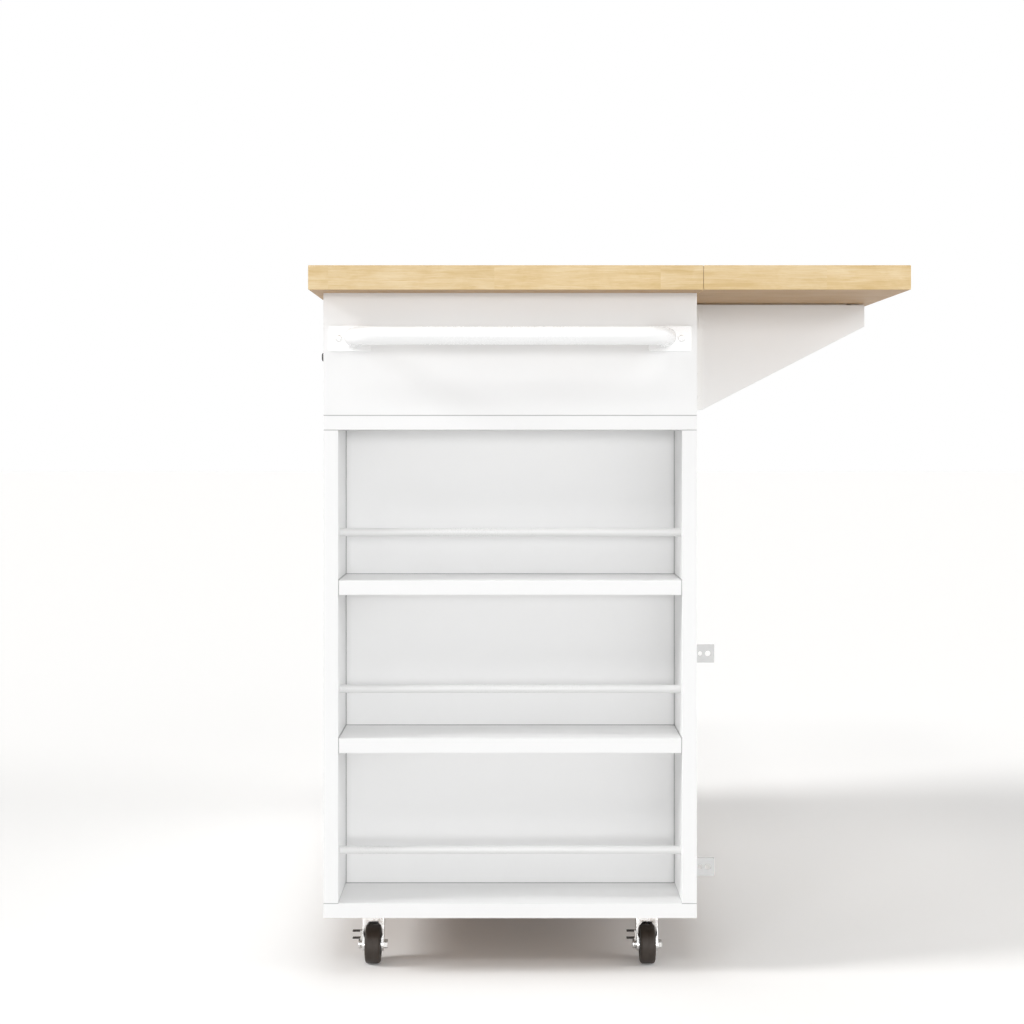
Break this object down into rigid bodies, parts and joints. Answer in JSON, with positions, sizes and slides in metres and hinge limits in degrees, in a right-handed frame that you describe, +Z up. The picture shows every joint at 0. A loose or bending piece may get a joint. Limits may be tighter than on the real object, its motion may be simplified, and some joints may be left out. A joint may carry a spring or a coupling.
{
  "type": "drop leaf kitchen island",
  "caption": "Kitchen island on casters with a drop leaf on swing-out wings, an open spice rack and a towel bar on its end, and drawers over cupboards.",
  "frame": {"origin": "on the floor under the middle of the whole island's bounding box", "axes": "+X from the door side to the leaf side, +Y from the spice rack end to the far end, +Z up"},
  "size_m": [0.778, 1.1316, 0.912],
  "materials": {
    "beech_top": "oiled, fine straight grain",
    "white_board": "painted satin white",
    "drawer_ply": "lacquered",
    "white_metal": "gloss white powder coat",
    "black_metal": "satin black",
    "dark_steel": "dark bronze",
    "hinge_steel": "satin nickel",
    "wing_hinge_white": "satin white",
    "zinc": "bright zinc plate",
    "screw_steel": "bright",
    "tread": "matt dark brown-black",
    "pad_rubber": "matt"
  },
  "bodies": {
    "cabinet": {"worktop": "beech_top", "leaf_hinge_plates": "dark_steel", "bottom_board": "white_board", "middle_board": "white_board", "near_end_panel": "white_board", "far_end_panel": "white_board", "rack_stiles": "white_board", "rack_partition": "white_board", "rack_shelves": "white_board", "rack_rails": "white_metal", "drawer_partition": "white_board", "drawer_divider": "white_board", "cupboard_divider": "white_board", "front_filler": "white_board", "lower_back_panel": "white_board", "upper_back_panel": "white_board", "back_posts": "white_board", "front_top_rail": "white_board", "back_top_rail": "white_board", "cupboard_shelves": "white_board", "shelf_pins": "zinc", "drawer_rails": "white_metal", "door_hinge_plates": "hinge_steel", "wing_hinge_plates": "wing_hinge_white", "towel_bar": "white_metal", "towel_bar_plates": "white_metal", "tie_brackets": "white_metal", "pan_head_screws": "screw_steel", "caster_plates": "zinc", "caster_screws": "screw_steel"},
    "leaf": {"drop_leaf": "beech_top", "leaf_hinge_flaps": "dark_steel"},
    "near_wing": {"near_wing": "white_board", "near_wing_flap": "wing_hinge_white", "near_wing_pad": "pad_rubber"},
    "far_wing": {"far_wing": "white_board", "far_wing_flap": "wing_hinge_white", "far_wing_pad": "pad_rubber"},
    "near_door": {"near_door": "white_board", "near_door_flaps": "hinge_steel", "near_door_pull": "black_metal"},
    "far_door": {"far_door": "white_board", "far_door_flaps": "hinge_steel", "far_door_pull": "black_metal"},
    "near_drawer": {"near_drawer_front": "white_board", "near_drawer_box": "drawer_ply", "near_drawer_pull": "black_metal"},
    "far_drawer": {"far_drawer_front": "white_board", "far_drawer_box": "drawer_ply", "far_drawer_pull": "black_metal"},
    "near_front_fork": {"near_front_fork": "zinc"},
    "near_front_wheel": {"near_front_wheel": "tread"},
    "near_back_fork": {"near_back_fork": "zinc"},
    "near_back_wheel": {"near_back_wheel": "tread"},
    "far_front_fork": {"far_front_fork": "zinc"},
    "far_front_wheel": {"far_front_wheel": "tread"},
    "far_back_fork": {"far_back_fork": "zinc"},
    "far_back_wheel": {"far_back_wheel": "tread"},
    "near_front_brake": {"near_front_brake": "dark_steel"},
    "near_back_brake": {"near_back_brake": "dark_steel"}
  },
  "joints": [
    {"name": "leaf_lift", "type": "hinge", "parent": "cabinet", "child": "leaf", "pos_m": [0.12725, 0.01575, 0.8822], "axis": [0, -1, 0], "range_deg": [0, 0.9]},
    {"name": "near_wing_fold", "type": "hinge", "parent": "cabinet", "child": "near_wing", "pos_m": [0.127, -0.31425, 0.806], "axis": [0, 0, 1], "range_deg": [0, 90]},
    {"name": "far_wing_fold", "type": "hinge", "parent": "cabinet", "child": "far_wing", "pos_m": [0.127, 0.34575, 0.806], "axis": [0, 0, -1], "range_deg": [0, 90]},
    {"name": "near_door_swing", "type": "hinge", "parent": "cabinet", "child": "near_door", "pos_m": [-0.3613, -0.36625, 0.398], "axis": [0, 0, 1], "range_deg": [0, 110]},
    {"name": "far_door_swing", "type": "hinge", "parent": "cabinet", "child": "far_door", "pos_m": [-0.3613, 0.49775, 0.398], "axis": [0, 0, -1], "range_deg": [0, 110]},
    {"name": "near_drawer_slide", "type": "slide", "parent": "cabinet", "child": "near_drawer", "axis": [-1, 0, 0], "range_m": [0, 0.3]},
    {"name": "far_drawer_slide", "type": "slide", "parent": "cabinet", "child": "far_drawer", "axis": [-1, 0, 0], "range_m": [0, 0.3]},
    {"name": "near_front_swivel", "type": "hinge", "parent": "cabinet", "child": "near_front_fork", "pos_m": [-0.298, -0.41425, 0.062], "axis": [0, 0, 1], "continuous": true},
    {"name": "near_front_roll", "type": "hinge", "parent": "near_front_fork", "child": "near_front_wheel", "pos_m": [-0.298, -0.43225, 0.025], "axis": [1, 0, 0], "continuous": true},
    {"name": "near_back_swivel", "type": "hinge", "parent": "cabinet", "child": "near_back_fork", "pos_m": [0.064, -0.41425, 0.062], "axis": [0, 0, 1], "continuous": true},
    {"name": "near_back_roll", "type": "hinge", "parent": "near_back_fork", "child": "near_back_wheel", "pos_m": [0.064, -0.43225, 0.025], "axis": [1, 0, 0], "continuous": true},
    {"name": "far_front_swivel", "type": "hinge", "parent": "cabinet", "child": "far_front_fork", "pos_m": [-0.298, 0.44575, 0.062], "axis": [0, 0, 1], "continuous": true},
    {"name": "far_front_roll", "type": "hinge", "parent": "far_front_fork", "child": "far_front_wheel", "pos_m": [-0.298, 0.42775, 0.025], "axis": [1, 0, 0], "continuous": true},
    {"name": "far_back_swivel", "type": "hinge", "parent": "cabinet", "child": "far_back_fork", "pos_m": [0.064, 0.44575, 0.062], "axis": [0, 0, 1], "continuous": true},
    {"name": "far_back_roll", "type": "hinge", "parent": "far_back_fork", "child": "far_back_wheel", "pos_m": [0.064, 0.42775, 0.025], "axis": [1, 0, 0], "continuous": true},
    {"name": "near_front_brake_release", "type": "hinge", "parent": "near_front_fork", "child": "near_front_brake", "pos_m": [-0.298, -0.43225, 0.025], "axis": [1, 0, 0], "range_deg": [0, 14]},
    {"name": "near_back_brake_release", "type": "hinge", "parent": "near_back_fork", "child": "near_back_brake", "pos_m": [0.064, -0.43225, 0.025], "axis": [1, 0, 0], "range_deg": [0, 14]}
  ]
}
